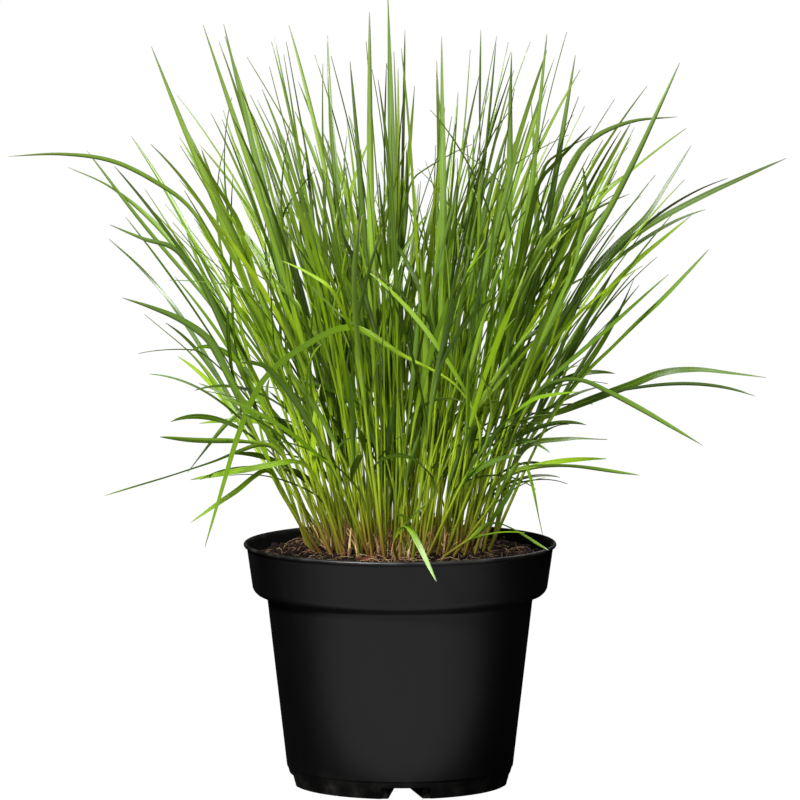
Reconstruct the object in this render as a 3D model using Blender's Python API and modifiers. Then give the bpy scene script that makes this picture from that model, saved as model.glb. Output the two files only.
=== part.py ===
"""A clump of ornamental grass growing in a black nursery pot.

Metres, +Z up. The pot stands on the plane Z = 0 with its axis on the Z axis, and the side that
the plant shows is towards -Y. The tables of shoots and tufts are in millimetres, which MM turns
into metres. Every shoot is one solid from its root on the soil to the tip of its longest leaf.
"""

import math

import bmesh
import bpy
from mathutils import Matrix, Vector

MM = 0.001
GAP = 0.0003

# Pot: a thin moulded shell with a wide collar, a rolled lip and a foot ring
POT_HEIGHT = 0.1784
RIM_RADIUS = 0.115
COLLAR_TOP_RADIUS = 0.1126
COLLAR_FOOT_RADIUS = 0.1086
COLLAR_FOOT_Z = 0.1469
BODY_TOP_RADIUS = 0.0974
BODY_TOP_Z = 0.1359
BODY_FOOT_RADIUS = 0.0834
CREASE_Z = 0.0130
BASE_RADIUS = 0.0790
WALL = 0.0012
FLOOR = 0.0014
TURN_STEPS = 40
ABOVE_RIM = 0.020

# Drainage channels that cross the foot ring and run in towards the centre
CHANNEL_COUNT = 4
CHANNEL_OFFSET = math.radians(3.0)
CHANNEL_HEIGHT = 0.0086
CHANNEL_INNER_R = 0.024
CHANNEL_INNER_HALF = 0.0050
CHANNEL_STEP_R = 0.0755
CHANNEL_STEP_HALF = 0.0125
CHANNEL_OUTER_R = 0.100
CHANNEL_MOUTH_HALF = 0.0182
BELOW_BASE = 0.004
DRAIN_RADIUS = 0.0045
DRAIN_AT_R = 0.062
DRAIN_SIDES = 10

# Soil: a low mound that fills the pot to a little under the lip
SOIL_CENTRE_Z = 0.1732
SOIL_SHOULDER_R = 0.080
SOIL_SHOULDER_Z = 0.1714
SOIL_SLOPE_R = 0.100
SOIL_SLOPE_Z = 0.1676
SOIL_EDGE_Z = 0.1632

# Shoots: a round stem that flattens into a long tapering blade
STEM_WIDTH = 0.0032
STEM_THICKNESS = 0.0028
BLADE_THICKNESS = 0.0011
TIP_WIDTH = 0.0011
STEM_ENDS = 0.30
BLADE_WIDEST = 0.52
SHOOT_STATIONS = 11
SMALL_STEP = 0.01

# Tufts: the slender closed outlines that stand for the many thin shoots inside the clump
TUFT_RADIUS = 0.0105
TUFT_POINTS = 8
TUFT_OUTWARD_BEND = 1.5
# for each ring of tufts: how many, root radius, tip radius, tip height, first azimuth in degrees
TUFT_RINGS = (
    (4, 15, 38, 560, 45),
    (8, 37, 112, 530, 10),
)

POT_COLOUR = (0.012, 0.012, 0.013)
SOIL_COLOUR = (0.045, 0.018, 0.010)
SHOOT_COLOUR = (0.110, 0.300, 0.030)
TUFT_COLOUR = (0.180, 0.380, 0.030)

# Each shoot's blade width and root (x, y), then the points (x, y, z) that it passes through, up
# to its tip. They go round the clump by side, and "tall" ones stand in the front of its middle.
SHOOTS = {
    "left": (
        (5.0, (-49, -44), (-73, -62, 228), (-94, -80, 259), (-129, -110, 252), (-171, -135, 241),
         (-210, -150, 231)),
        (5.5, (-41, -52), (-54, -66, 214), (-70, -84, 246), (-104, -102, 245), (-150, -122, 239)),
        (4.5, (-57, -32), (-84, -52, 217), (-96, -68, 240), (-120, -92, 226), (-150, -112, 207)),
        (6.5, (-62, -23), (-105, -50, 263), (-137, -75, 333), (-166, -85, 354), (-200, -90, 367)),
        (5.0, (-65, -13), (-112, -36, 300), (-151, -66, 389), (-180, -84, 407), (-208, -95, 420)),
        (5.0, (-67, -3), (-102, 8, 281), (-131, 20, 382), (-162, 25, 432), (-181, 25, 442),
         (-225, 25, 461), (-287, 20, 461)),
        (4.0, (-66, 8), (-82, 25, 229), (-101, 36, 277), (-124, 38, 266), (-157, 34, 226)),
        (5.0, (-64, 18), (-111, 52, 248), (-149, 72, 303), (-190, 87, 338)),
        (5.0, (-59, 29), (-119, 70, 307), (-165, 95, 385), (-210, 110, 427), (-248, 115, 446)),
        (4.0, (-53, 40), (-118, 108, 258), (-159, 150, 321), (-190, 175, 359), (-221, 190, 386)),
        (5.0, (-44, 49), (-62, 90, 214), (-83, 112, 247), (-117, 140, 253), (-152, 165, 248)),
    ),
    "back": (
        (5.0, (-33, 57), (-70, 120, 280), (-105, 190, 350), (-125, 236, 365)),
        (5.5, (-17, 64), (-35, 125, 330), (-50, 175, 450), (-55, 200, 540)),
        (5.5, (0, 66), (0, 112, 250), (-5, 170, 310), (-12, 243, 335)),
        (5.5, (17, 64), (25, 118, 290), (30, 175, 420), (28, 215, 520)),
        (5.0, (33, 57), (68, 125, 300), (92, 190, 400), (100, 243, 445)),
    ),
    "right": (
        (4.5, (46, 46), (112, 112, 288), (162, 152, 356), (221, 190, 404)),
        (5.0, (55, 36), (100, 68, 292), (146, 98, 374), (180, 112, 404), (218, 130, 461)),
        (5.0, (61, 26), (78, 62, 209), (93, 86, 238), (124, 110, 242), (156, 135, 239)),
        (5.5, (62, 14), (88, 30, 324), (118, 34, 435), (140, 32, 472), (165, 26, 485), (203, 20, 490)),
        (6.0, (67, 4), (86, 12, 251), (117, 16, 272), (161, 12, 290), (205, 6, 305), (268, 0, 300)),
        (6.0, (66, -7), (104, -14, 304), (144, -18, 377), (175, -18, 408), (219, -10, 433),
         (282, 0, 461)),
        (5.5, (64, -17), (112, -42, 278), (158, -66, 333), (191, -80, 367), (222, -90, 402)),
        (6.0, (60, -28), (82, -58, 264), (105, -76, 300), (127, -86, 307), (169, -95, 289),
         (217, -105, 262)),
        (5.5, (54, -38), (84, -66, 286), (122, -90, 379), (162, -98, 454), (200, -95, 536)),
        (6.0, (46, -48), (60, -76, 216), (79, -94, 240), (117, -115, 248), (171, -145, 245)),
        (3.5, (37, -55), (64, -94, 214), (88, -116, 250), (102, -136, 201)),
        (5.5, (27, -60), (50, -92, 192), (70, -110, 206), (106, -136, 190)),
    ),
    "front": (
        (5.0, (18, -64), (52, -128, 250), (90, -178, 300), (128, -212, 312)),
        (5.5, (9, -66), (24, -128, 300), (42, -188, 380), (54, -236, 402)),
        (4.5, (-1, -66), (-4, -94, 190), (6, -118, 204), (26, -140, 168)),
        (5.0, (-11, -65), (-24, -112, 280), (-32, -170, 380), (-28, -226, 438)),
        (5.0, (-21, -62), (-54, -118, 260), (-90, -178, 322), (-112, -228, 334)),
        (5.0, (32, -50), (54, -98, 242), (57, -112, 275), (46, -121, 302), (4, -129, 328),
         (-41, -136, 351), (-78, -130, 328), (-107, -124, 295), (-140, -118, 190)),
    ),
    "tall": (
        (5.5, (-50, -16), (-90, -22, 392), (-128, -20, 560)),
        (5.5, (-47, -28), (-106, -52, 357), (-179, -62, 546)),
        (5.5, (-39, -40), (-76, -76, 358), (-141, -90, 563)),
        (5.5, (-28, -48), (-51, -92, 358), (-93, -110, 534)),
        (6.0, (-13, -52), (-20, -80, 358), (-22, -66, 571)),
        (6.0, (2, -52), (-4, -62, 393), (-9, -50, 590)),
        (5.5, (16, -50), (30, -76, 357), (30, -62, 553)),
        (5.5, (28, -42), (54, -76, 358), (58, -80, 559)),
        (5.5, (38, -32), (74, -60, 358), (80, -88, 543)),
        (5.0, (44, -20), (84, -38, 356), (106, -50, 554)),
        (5.0, (48, -6), (96, -18, 356), (127, -34, 538)),
    ),
}


def clear_scene():
    for obj in list(bpy.data.objects):
        bpy.data.objects.remove(obj, do_unlink=True)


def new_collection(name):
    found = bpy.data.collections.new(name)
    bpy.context.scene.collection.children.link(found)
    return found


def material(name, colour, roughness):
    made = bpy.data.materials.new(name)
    made.use_nodes = True
    shader = made.node_tree.nodes["Principled BSDF"]
    shader.inputs["Base Color"].default_value = (*colour, 1.0)
    shader.inputs["Roughness"].default_value = roughness
    shader.inputs["Metallic"].default_value = 0.0
    return made


def add_object(name, data, collection, surface=None):
    obj = bpy.data.objects.new(name, data)
    collection.objects.link(obj)
    if surface:
        data.materials.append(surface)
    return obj


def hide_cutter(obj):
    obj.hide_render = True
    obj.display_type = "WIRE"
    return obj


def turned(name, profile, collection, surface=None):
    """A solid of revolution about Z. The profile's points are (radius, height), from the axis
    over the top, down the outside and back to the axis."""
    mesh = bpy.data.meshes.new(name)
    points = [(radius, 0.0, height) for radius, height in profile]
    mesh.from_pydata(points, [(i, i + 1) for i in range(len(points) - 1)], [])
    obj = add_object(name, mesh, collection, surface)
    screw = obj.modifiers.new("turn", "SCREW")
    screw.steps = TURN_STEPS
    screw.render_steps = TURN_STEPS
    screw.use_merge_vertices = True
    screw.merge_threshold = 0.00005
    screw.use_smooth_shade = True
    return obj


def cut(obj, cutter, name):
    boolean = obj.modifiers.new(name, "BOOLEAN")
    boolean.operation = "DIFFERENCE"
    boolean.object = cutter


# ---------------------------------------------------------------- pot and soil


def pot_outside():
    """The outer wall's profile from the lip's crown to the base, without its points on the axis."""
    return [
        (RIM_RADIUS - 0.0010, POT_HEIGHT),
        (RIM_RADIUS - 0.0002, POT_HEIGHT - 0.0006),
        (RIM_RADIUS, POT_HEIGHT - 0.0016),
        (RIM_RADIUS - 0.0005, POT_HEIGHT - 0.0028),
        (COLLAR_TOP_RADIUS, POT_HEIGHT - 0.0036),
        (COLLAR_FOOT_RADIUS, COLLAR_FOOT_Z),
        (COLLAR_FOOT_RADIUS - 0.0011, COLLAR_FOOT_Z - 0.0032),
        (COLLAR_FOOT_RADIUS - 0.0036, COLLAR_FOOT_Z - 0.0058),
        (BODY_TOP_RADIUS + 0.0012, BODY_TOP_Z + 0.0018),
        (BODY_TOP_RADIUS, BODY_TOP_Z),
        (BODY_FOOT_RADIUS, CREASE_Z + 0.0008),
        (BODY_FOOT_RADIUS - 0.0005, CREASE_Z),
        (BODY_FOOT_RADIUS - 0.0009, CREASE_Z - 0.0006),
        (BASE_RADIUS + 0.0006, 0.0012),
        (BASE_RADIUS - 0.0004, 0.0),
    ]


def pot_inside(inset=0.0):
    """The inner wall's profile from the floor's edge up to the lip, moved in by inset."""
    wall = WALL + inset
    return [
        (BASE_RADIUS - 0.0010 - inset, FLOOR + inset),
        (BODY_FOOT_RADIUS - wall - 0.0002, CREASE_Z + 0.0008),
        (BODY_TOP_RADIUS - wall, BODY_TOP_Z + 0.0004),
        (BODY_TOP_RADIUS + 0.0005 - inset, BODY_TOP_Z + 0.0032),
        (COLLAR_FOOT_RADIUS - 0.0045 - inset, COLLAR_FOOT_Z - 0.0046),
        (COLLAR_FOOT_RADIUS - 0.0022 - inset, COLLAR_FOOT_Z - 0.0024),
        (COLLAR_FOOT_RADIUS - wall, COLLAR_FOOT_Z + 0.0004),
    ]


def channel_outline(grow):
    """One side of a channel's plan as (radius, half width) points, with each wall moved out by
    grow: narrow near the centre, wider to the foot ring, and widest where it opens through it."""
    return (
        (CHANNEL_INNER_R - grow, CHANNEL_INNER_HALF + grow),
        (CHANNEL_STEP_R - grow, CHANNEL_STEP_HALF + grow),
        (CHANNEL_STEP_R - grow, CHANNEL_MOUTH_HALF + grow),
        (CHANNEL_OUTER_R, CHANNEL_MOUTH_HALF + grow),
    )


def channel_azimuths():
    first = CHANNEL_OFFSET - math.pi / 2
    return [first + index * math.tau / CHANNEL_COUNT for index in range(CHANNEL_COUNT)]


def channel_set(name, collection, grow):
    """The drainage channels as one cutter, each an outline raised from below the base."""
    one_side = channel_outline(grow)
    outline = list(one_side) + [(radius, -half) for radius, half in reversed(one_side)]
    shape = bmesh.new()
    for azimuth in channel_azimuths():
        turn = Matrix.Rotation(azimuth, 3, "Z")
        corners = [shape.verts.new(turn @ Vector((x, y, -BELOW_BASE))) for x, y in outline]
        floor = shape.faces.new(corners)
        raised = bmesh.ops.extrude_face_region(shape, geom=[floor])["geom"]
        lifted = [item for item in raised if isinstance(item, bmesh.types.BMVert)]
        bmesh.ops.translate(shape, verts=lifted, vec=(0.0, 0.0, BELOW_BASE + CHANNEL_HEIGHT + grow))
    bmesh.ops.recalc_face_normals(shape, faces=shape.faces)
    mesh = bpy.data.meshes.new(name)
    shape.to_mesh(mesh)
    shape.free()
    return hide_cutter(add_object(name, mesh, collection))


def drain_set(name, collection):
    """A round hole through the roof of each channel."""
    shape = bmesh.new()
    for azimuth in channel_azimuths():
        made = bmesh.ops.create_cone(
            shape,
            cap_ends=True,
            segments=DRAIN_SIDES,
            radius1=DRAIN_RADIUS,
            radius2=DRAIN_RADIUS,
            depth=4 * WALL,
        )
        place = Matrix.Rotation(azimuth, 3, "Z") @ Vector((DRAIN_AT_R, 0.0, CHANNEL_HEIGHT))
        bmesh.ops.translate(shape, verts=made["verts"], vec=place)
    mesh = bpy.data.meshes.new(name)
    shape.to_mesh(mesh)
    shape.free()
    return hide_cutter(add_object(name, mesh, collection))


def make_pot(parts, cutters):
    surface = material("pot_plastic", POT_COLOUR, 0.42)
    outside = [(0.0, POT_HEIGHT)] + pot_outside() + [(0.0, 0.0)]
    pot = turned("pot", outside, parts, surface)

    lip = [
        (COLLAR_TOP_RADIUS - WALL, POT_HEIGHT - 0.0030),
        (RIM_RADIUS - 0.0026, POT_HEIGHT - 0.0008),
        (RIM_RADIUS - 0.0019, POT_HEIGHT),
    ]
    inside = [(0.0, FLOOR)] + pot_inside() + lip
    inside = inside + [(lip[-1][0], POT_HEIGHT + ABOVE_RIM), (0.0, POT_HEIGHT + ABOVE_RIM)]
    cavity = hide_cutter(turned("cavity", inside[::-1], cutters))
    cut(cavity, channel_set("channel_covers", cutters, WALL), "keep channel walls")

    cut(pot, channel_set("channels", cutters, 0.0), "drainage channels")
    cut(pot, cavity, "hollow")
    cut(pot, drain_set("drains", cutters), "drain holes")
    return pot


def make_soil(parts, cutters):
    surface = material("soil", SOIL_COLOUR, 0.95)
    walls = pot_inside(GAP)
    foot, head = walls[-1], (COLLAR_TOP_RADIUS - WALL - GAP, POT_HEIGHT - 0.0030)
    share = (SOIL_EDGE_Z - foot[1]) / (head[1] - foot[1])
    edge = (foot[0] + share * (head[0] - foot[0]), SOIL_EDGE_Z)
    top = [(0.0, SOIL_CENTRE_Z), (SOIL_SHOULDER_R, SOIL_SHOULDER_Z), (SOIL_SLOPE_R, SOIL_SLOPE_Z), edge]
    soil = turned("soil", top + walls[::-1] + [(0.0, FLOOR + GAP)], parts, surface)
    cut(soil, channel_set("soil_channels", cutters, WALL + GAP), "room for the channels")
    return soil


# ---------------------------------------------------------------- shoots and tufts


def through_points(points, share):
    """The place at this share, from 0 to 1, of a smooth curve through the points."""
    ends = [2 * points[0] - points[1]] + list(points) + [2 * points[-1] - points[-2]]
    lengths = [(b - a).length for a, b in zip(points, points[1:])]
    along = share * sum(lengths)
    span = 0
    while span < len(lengths) - 1 and along > lengths[span]:
        along -= lengths[span]
        span += 1
    t = along / lengths[span]
    a, b, c, d = ends[span : span + 4]
    return 0.5 * (
        2 * b + (c - a) * t + (2 * a - 5 * b + 4 * c - d) * t**2 + (3 * b - 3 * c + d - a) * t**3
    )


def smooth_step(value, low, high):
    t = min(max((value - low) / (high - low), 0.0), 1.0)
    return t * t * (3 - 2 * t)


def shoot_section(share, blade_width):
    """The width and thickness of a shoot at this share of its length."""
    opened = smooth_step(share, STEM_ENDS, BLADE_WIDEST)
    width = STEM_WIDTH + opened * (blade_width - STEM_WIDTH)
    thickness = STEM_THICKNESS + opened * (BLADE_THICKNESS - STEM_THICKNESS)
    taper = max(share - BLADE_WIDEST, 0.0) / (1.0 - BLADE_WIDEST)
    width += (TIP_WIDTH - width) * taper**1.6
    return width, thickness


def soil_height(x, y):
    return SOIL_CENTRE_Z - (SOIL_CENTRE_Z - SOIL_SHOULDER_Z) * math.hypot(x, y) / SOIL_SHOULDER_R


def make_shoot(name, blade_width, root, route, parts, surface):
    """A loft along the route: a diamond section at each station, ending in a point."""
    start = Vector((root[0] * MM, root[1] * MM, 0.0))
    start.z = soil_height(start.x, start.y) + GAP
    points = [start] + [Vector(point) * MM for point in route]
    outward = Vector((points[-1].x - start.x, points[-1].y - start.y, 0.0)).normalized()
    across = Vector((0.0, 0.0, 1.0)).cross(outward)

    shape = bmesh.new()
    rings = []
    for station in range(SHOOT_STATIONS):
        share = station / SHOOT_STATIONS
        place = through_points(points, share)
        ahead = Vector((0.0, 0.0, 1.0))
        if station:
            ahead = through_points(points, share + SMALL_STEP) - through_points(points, share - SMALL_STEP)
            ahead.normalize()
        side = (across - ahead * across.dot(ahead)).normalized()
        face = ahead.cross(side)
        width, thickness = shoot_section(share, blade_width * MM)
        corners = (side * width, face * thickness, -side * width, -face * thickness)
        rings.append([shape.verts.new(place + corner / 2) for corner in corners])
    tip = shape.verts.new(points[-1])
    shape.faces.new(rings[0][::-1])
    for low, high in zip(rings, rings[1:]):
        for i in range(4):
            j = (i + 1) % 4
            shape.faces.new((low[i], low[j], high[j], high[i]))
    for i in range(4):
        shape.faces.new((rings[-1][i], rings[-1][(i + 1) % 4], tip))
    bmesh.ops.recalc_face_normals(shape, faces=shape.faces)
    mesh = bpy.data.meshes.new(name)
    shape.to_mesh(mesh)
    shape.free()
    return add_object(name, mesh, parts, surface)


def make_tuft(name, root_r, tip_r, tip_z, azimuth, parts, surface):
    """A slender spindle that leans outward: a tube whose radius swells and closes again."""
    curve = bpy.data.curves.new(name, "CURVE")
    curve.dimensions = "3D"
    curve.bevel_depth = TUFT_RADIUS
    curve.bevel_resolution = 1
    curve.use_fill_caps = True
    spline = curve.splines.new("POLY")
    spline.points.add(TUFT_POINTS - 1)
    foot_z = SOIL_CENTRE_Z + GAP
    for index, point in enumerate(spline.points):
        share = index / (TUFT_POINTS - 1)
        reach = root_r + (tip_r - root_r) * share**TUFT_OUTWARD_BEND
        height = foot_z + (tip_z - foot_z) * share
        x, y = reach * math.cos(azimuth), reach * math.sin(azimuth)
        point.co = (x, y, height, 1.0)
        point.radius = 0.55 + 0.45 * math.sin(math.pi * min(share * 1.1, 1.0)) - 0.45 * share**3
    return add_object(name, curve, parts, surface)


def make_plant(parts):
    shoot_surface = material("grass_blade", SHOOT_COLOUR, 0.55)
    tuft_surface = material("grass_tuft", TUFT_COLOUR, 0.60)
    for side, rows in SHOOTS.items():
        for number, (blade_width, root, *route) in enumerate(rows, 1):
            name = f"shoot_{side}_{number:02d}"
            make_shoot(name, blade_width, root, route, parts, shoot_surface)
    number = 0
    for count, root_r, tip_r, tip_z, first in TUFT_RINGS:
        for index in range(count):
            number += 1
            azimuth = math.radians(first) + index * math.tau / count
            make_tuft(
                f"tuft_{number:02d}", root_r * MM, tip_r * MM, tip_z * MM, azimuth, parts, tuft_surface
            )


def main():
    clear_scene()
    parts = new_collection("potted_grass")
    cutters = new_collection("cutters")
    make_pot(parts, cutters)
    make_soil(parts, cutters)
    make_plant(parts)


main()
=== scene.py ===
"""The looks of a potted clump of ornamental grass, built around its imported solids.

Metres, +Z up, and the front is towards -Y. Every live shoot is a round stem that opens into a long
keeled blade, with smaller leaves that leave the stem on alternate sides. The outer shoots follow
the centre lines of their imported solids, and the shoots inside the clump are grown by rule and
joined in one piece for each packed tuft.
"""

import math
from collections import namedtuple

import bmesh
import bpy
import numpy as np
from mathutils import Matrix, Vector, noise


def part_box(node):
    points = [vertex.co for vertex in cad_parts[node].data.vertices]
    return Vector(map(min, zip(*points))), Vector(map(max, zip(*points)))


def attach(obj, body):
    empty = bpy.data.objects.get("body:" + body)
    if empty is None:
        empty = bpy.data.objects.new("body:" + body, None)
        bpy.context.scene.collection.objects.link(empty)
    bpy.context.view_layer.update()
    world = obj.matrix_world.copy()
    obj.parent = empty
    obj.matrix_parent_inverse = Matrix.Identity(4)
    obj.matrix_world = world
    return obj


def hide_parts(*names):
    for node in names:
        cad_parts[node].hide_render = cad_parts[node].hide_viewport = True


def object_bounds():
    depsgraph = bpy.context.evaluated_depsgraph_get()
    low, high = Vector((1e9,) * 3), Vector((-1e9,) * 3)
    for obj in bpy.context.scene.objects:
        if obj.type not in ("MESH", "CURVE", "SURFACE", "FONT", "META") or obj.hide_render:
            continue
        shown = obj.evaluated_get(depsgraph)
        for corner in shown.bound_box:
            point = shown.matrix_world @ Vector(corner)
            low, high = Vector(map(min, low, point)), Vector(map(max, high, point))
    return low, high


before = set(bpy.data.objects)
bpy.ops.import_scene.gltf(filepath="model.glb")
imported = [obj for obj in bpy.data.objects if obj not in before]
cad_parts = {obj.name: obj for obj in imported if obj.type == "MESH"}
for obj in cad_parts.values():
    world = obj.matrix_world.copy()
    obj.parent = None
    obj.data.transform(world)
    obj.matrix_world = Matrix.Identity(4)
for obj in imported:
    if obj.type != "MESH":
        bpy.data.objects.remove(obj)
cad_box = [list(corner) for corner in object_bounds()]

MM = 0.001
BODY = "root"
GOLDEN_ANGLE = math.pi * (3 - math.sqrt(5))
UP = np.array((0.0, 0.0, 1.0))

# Where things are, from the frame
POT_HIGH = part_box("pot")[1]
POT_HEIGHT = POT_HIGH.z
RIM_RADIUS = POT_HIGH.x
SOIL_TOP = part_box("soil")[1].z
PLANT_TOP = cad_box[1][2]

# How far from the axis the shoots stand in the soil
CLUMP_RADIUS = 0.060

# ---------------------------------------------------------------- materials


def tint(red, green, blue):
    """A linear colour from the 0 to 255 numbers of a paint chart."""
    parts = [value / 255 for value in (red, green, blue)]
    return tuple(p / 12.92 if p <= 0.04045 else ((p + 0.055) / 1.055) ** 2.4 for p in parts) + (1.0,)


class Paint:
    """A node material in the making. Each call adds one node and gives its output socket."""

    def __init__(self, name):
        self.material = bpy.data.materials.new(name)
        self.material.use_nodes = True
        self.tree = self.material.node_tree
        self.shader = self.tree.nodes["Principled BSDF"]
        self.output = self.tree.nodes["Material Output"]

    def plug(self, socket, value):
        if isinstance(value, bpy.types.NodeSocket):
            self.tree.links.new(value, socket)
        else:
            socket.default_value = value

    def add(self, kind, settings=(), inputs=(), output=0):
        node = self.tree.nodes.new(kind)
        for name, value in dict(settings).items():
            setattr(node, name, value)
        for name, value in dict(inputs).items():
            self.plug(node.inputs[name], value)
        return node.outputs[output]

    def attribute(self, name):
        return self.add("ShaderNodeAttribute", {"attribute_name": name}, output="Fac")

    def place(self, stretch=(1.0, 1.0, 1.0)):
        where = self.add("ShaderNodeTexCoord", output="Object")
        return self.add("ShaderNodeMapping", inputs={"Vector": where, "Scale": stretch})

    def height(self):
        where = self.add("ShaderNodeTexCoord", output="Object")
        return self.add("ShaderNodeSeparateXYZ", inputs={0: where}, output="Z")

    def noise(self, scale, detail=3.0, stretch=(1.0, 1.0, 1.0), roughness=0.55):
        inputs = {"Vector": self.place(stretch), "Scale": scale, "Detail": detail, "Roughness": roughness}
        return self.add("ShaderNodeTexNoise", inputs=inputs)

    def span(self, value, low, high, to_low=0.0, to_high=1.0):
        inputs = {0: value, 1: low, 2: high, 3: to_low, 4: to_high}
        return self.add("ShaderNodeMapRange", {"interpolation_type": "SMOOTHSTEP"}, inputs)

    def sum(self, operation, first, second=0.0):
        return self.add("ShaderNodeMath", {"operation": operation}, {0: first, 1: second})

    def mix(self, share, first, second, blend="MIX"):
        settings = {"data_type": "RGBA", "blend_type": blend}
        return self.add("ShaderNodeMix", settings, {0: share, 6: first, 7: second}, output=2)

    def ramp(self, value, stops):
        out = self.add("ShaderNodeValToRGB", inputs={0: value})
        elements = out.node.color_ramp.elements
        while len(elements) < len(stops):
            elements.new(0.5)
        for element, (position, colour) in zip(elements, stops):
            element.position = position
            element.color = colour
        return out

    def bump(self, height, strength, distance):
        inputs = {"Height": height, "Strength": strength, "Distance": distance}
        return self.add("ShaderNodeBump", inputs=inputs)

    def finish(self, **sockets):
        for name, value in sockets.items():
            self.plug(self.shader.inputs[name.replace("_", " ")], value)
        return self.material


# from the soil to the top of the plant: (share of the height, colour)
STEM_COLOURS = (
    (0.00, tint(130, 76, 46)),
    (0.025, tint(138, 108, 46)),
    (0.07, tint(158, 164, 44)),
    (0.16, tint(182, 204, 50)),
    (0.40, tint(150, 182, 8)),
    (0.80, tint(118, 150, 10)),
)
# after the palest blade's own colour: (tone, colour)
BLADE_COLOURS = (
    (0.20, tint(134, 164, 8)),
    (0.50, tint(104, 138, 2)),
    (0.75, tint(68, 98, 2)),
    (1.00, tint(36, 58, 2)),
)
LIGHT_THROUGH_BLADE = 0.32
GLOW_GAIN = 1.5


def fresh_colour(paint, palest):
    """Stems by their height, and blades by their tone, duller towards the top of the plant."""
    rise = paint.span(paint.height(), SOIL_TOP, PLANT_TOP)
    rise.node.interpolation_type = "LINEAR"
    tone = paint.attribute("tone")
    stem = paint.ramp(rise, STEM_COLOURS)
    stem = paint.mix(paint.span(tone, 0.35, 1.0, 0.0, 0.65), stem, tint(92, 124, 10))
    blade = paint.ramp(tone, ((0.00, palest),) + BLADE_COLOURS)
    duller = paint.mix(paint.span(rise, 0.40, 0.90, 0.0, 0.65), blade, tint(84, 90, 58))
    return paint.mix(paint.attribute("leafy"), stem, duller)


def marked_colour(paint, fresh, blotch):
    """Blotches, a pale rib, fine veins, a paler underside, a grey tip and withered ends."""
    varied = paint.mix(paint.span(blotch, 0.35, 0.7, 0.0, 0.3), fresh, tint(96, 136, 4))
    across = paint.attribute("across")
    distance = paint.sum("ABSOLUTE", across)
    ribbed = paint.mix(paint.span(distance, 0.16, 0.02, 0.0, 0.30), varied, tint(160, 188, 72))
    veins = paint.sum("SINE", paint.sum("MULTIPLY", across, 9.4))
    veined = paint.mix(paint.span(veins, -0.6, 1.0, 0.0, 0.25), ribbed, tint(66, 98, 2))
    below = paint.sum("MULTIPLY", paint.attribute("under"), 0.28)
    under = paint.mix(below, veined, tint(128, 160, 80))
    along = paint.attribute("along")
    tipped = paint.mix(paint.span(along, 0.965, 1.0, 0.0, 0.8), under, tint(124, 120, 112))
    return paint.mix(paint.attribute("dry"), tipped, tint(148, 140, 104))


def live_grass(name, palest):
    """Fresh grass: brown feet, bright yellow-green stems and blades from mid to dark green, which
    let some light through."""
    paint = Paint(name)
    blotch = paint.noise(9.0, 2.0, (1.0, 1.0, 0.35))
    colour = marked_colour(paint, fresh_colour(paint, palest), blotch)
    glow = paint.mix(0.5, colour, tint(220, 232, 60), "MULTIPLY")
    glow = paint.mix(1.0, glow, (GLOW_GAIN, GLOW_GAIN, GLOW_GAIN, 1.0), "MULTIPLY")
    through = paint.add("ShaderNodeBsdfTranslucent", inputs={"Color": glow})
    paint.finish(Base_Color=colour, Roughness=paint.span(blotch, 0.3, 0.7, 0.30, 0.44))
    paint.shader.inputs["Specular IOR Level"].default_value = 0.5
    shares = {0: LIGHT_THROUGH_BLADE, 1: paint.shader.outputs[0], 2: through}
    both = paint.add("ShaderNodeMixShader", inputs=shares)
    paint.plug(paint.output.inputs["Surface"], both)
    return paint.material


def dead_grass():
    """Withered sheaths and roots: papery tan and pinkish brown, darker where they meet the soil."""
    paint = Paint("dead_grass")
    tone = paint.attribute("tone")
    shade = paint.ramp(
        tone,
        (
            (0.0, tint(92, 58, 34)),
            (0.35, tint(148, 106, 66)),
            (0.7, tint(184, 150, 96)),
            (1.0, tint(204, 184, 126)),
        ),
    )
    streak = paint.noise(260.0, 3.0, (1.0, 1.0, 0.15))
    varied = paint.mix(paint.span(streak, 0.35, 0.7, 0.0, 0.6), shade, tint(104, 74, 48))
    # darker over the lowest centimetre, towards the soil
    low = paint.span(paint.height(), SOIL_TOP + 0.010, SOIL_TOP - 0.002, 0.0, 0.8)
    darker_near_soil = paint.mix(low, varied, tint(48, 27, 16))
    return paint.finish(Base_Color=darker_near_soil, Roughness=0.8, Normal=paint.bump(streak, 0.5, 0.0004))


def soil_paint(name, dark, light, specks):
    """Peat and fine bark: dark reddish brown, mottled, with paler fibres."""
    paint = Paint(name)
    coarse = paint.noise(120.0, 6.0)
    fine = paint.noise(900.0, 4.0)
    mottled = paint.mix(paint.span(coarse, 0.38, 0.68), dark, light)
    speckled = paint.mix(paint.span(fine, 0.60, 0.74, 0.0, 0.75), mottled, specks)
    grain = paint.sum("ADD", coarse, paint.sum("MULTIPLY", fine, 0.6))
    paint.shader.inputs["Specular IOR Level"].default_value = 0.15
    return paint.finish(Base_Color=speckled, Roughness=0.92, Normal=paint.bump(grain, 0.8, 0.0012))


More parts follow.
